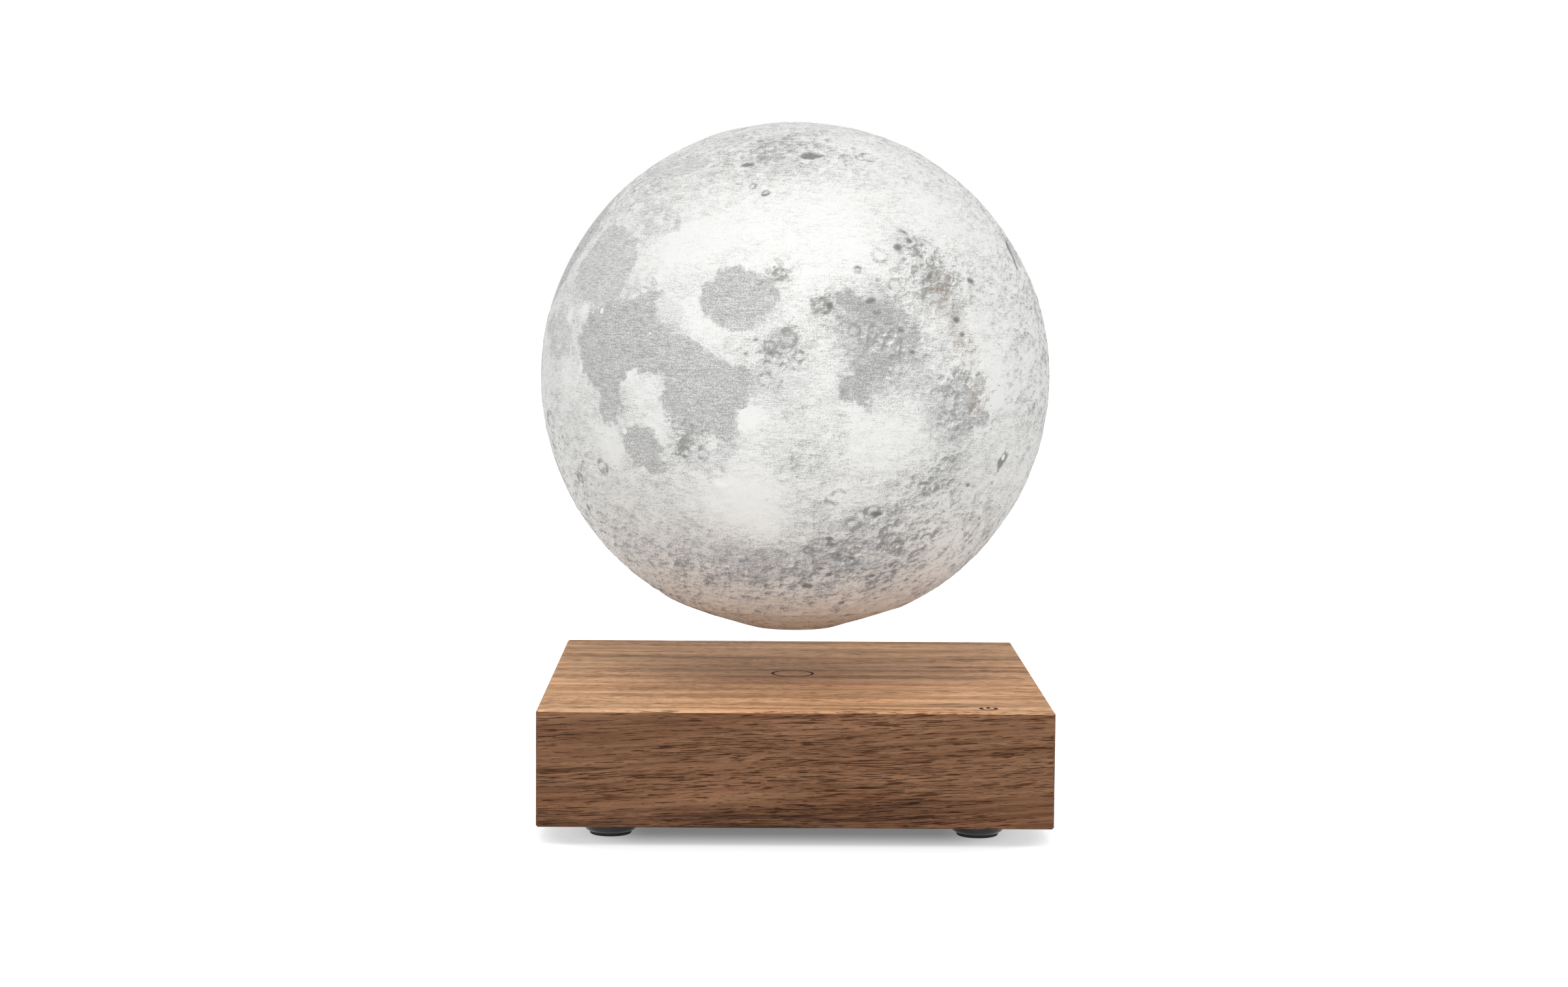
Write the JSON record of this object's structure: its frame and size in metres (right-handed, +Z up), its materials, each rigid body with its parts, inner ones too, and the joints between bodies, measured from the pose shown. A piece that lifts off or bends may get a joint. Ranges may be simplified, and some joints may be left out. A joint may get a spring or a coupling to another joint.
{
  "type": "levitating moon lamp",
  "caption": "Moon-printed lamp globe that floats and turns above a square solid-walnut base with magnets and coils inside.",
  "frame": {"origin": "on the table under the centre of the base, which is also under the globe's spin axis", "axes": "+Z up along the globe's spin axis, front of the base faces -Y, +X to the right with the power mark on the right front corner"},
  "size_m": [0.152, 0.152, 0.2044],
  "materials": {
    "walnut": "satin",
    "black_plastic": "matte",
    "black_screws": "satin",
    "steel_screws": "satin",
    "foot_cup": "gloss",
    "foot_rubber": "matte",
    "circuit_board": "satin",
    "chip_black": "matte",
    "capacitor_can": "satin",
    "jack_body": "satin",
    "nickel_contact": "satin",
    "wire_insulation": "satin",
    "ferrite": "matte",
    "bobbin_nylon": "satin",
    "copper_winding": "satin",
    "core_steel": "satin",
    "magnet_nickel": "polished",
    "brass_spacer": "satin",
    "moon_print": "matte",
    "lamp_board_metal": "satin",
    "lamp_chip": "gloss"
  },
  "bodies": {
    "base": {"bottom_cover": "black_plastic", "capacitors": "capacitor_can", "coil_bobbin_front": "bobbin_nylon", "coil_bobbin_left": "bobbin_nylon", "coil_bobbin_rear": "bobbin_nylon", "coil_bobbin_right": "bobbin_nylon", "coil_carrier": "black_plastic", "coil_cores": "core_steel", "coil_winding_front": "copper_winding", "coil_winding_left": "copper_winding", "coil_winding_rear": "copper_winding", "coil_winding_right": "copper_winding", "controller_chip": "chip_black", "cover_screws": "black_screws", "dc_jack": "jack_body", "foot_cup_front_left": "foot_cup", "foot_cup_front_right": "foot_cup", "foot_cup_rear_left": "foot_cup", "foot_cup_rear_right": "foot_cup", "foot_pad_front_left": "foot_rubber", "foot_pad_front_right": "foot_rubber", "foot_pad_rear_left": "foot_rubber", "foot_pad_rear_right": "foot_rubber", "foot_screws": "steel_screws", "hall_board": "circuit_board", "hall_sensors": "chip_black", "jack_leads": "wire_insulation", "jack_lug": "nickel_contact", "jack_nut": "steel_screws", "jack_pin": "nickel_contact", "magnet_tray": "black_plastic", "main_board": "circuit_board", "power_coil": "copper_winding", "power_coil_leads": "copper_winding", "power_transistors": "chip_black", "ring_magnet": "ferrite", "touch_board": "circuit_board", "touch_chip": "chip_black", "touch_lead": "wire_insulation", "tray_screws": "steel_screws", "wood_casing": "walnut"},
    "float": {"float_magnet": "magnet_nickel"},
    "globe": {"globe_shell": "moon_print", "globe_cap": "moon_print", "magnet_keeper": "black_plastic", "pickup_coil": "copper_winding", "pickup_leads": "copper_winding", "lower_spacers": "brass_spacer", "upper_spacers": "brass_spacer", "stack_screws": "steel_screws", "receiver_board": "circuit_board", "receiver_capacitor": "capacitor_can", "receiver_inductor": "ferrite", "rectifier": "chip_black", "lamp_board": "lamp_board_metal", "lamp_chips": "lamp_chip", "lamp_leads": "wire_insulation"}
  },
  "joints": [
    {"name": "globe_lift", "type": "slide", "parent": "base", "child": "float", "axis": [0, 0, 1], "range_m": [-0.0147, 0.1], "stiffness_N_per_m": 120, "springref_m": 0.02283},
    {"name": "globe_spin", "type": "hinge", "parent": "float", "child": "globe", "pos_m": [0, 0, 0.128], "axis": [0, 0, 1], "continuous": true}
  ]
}
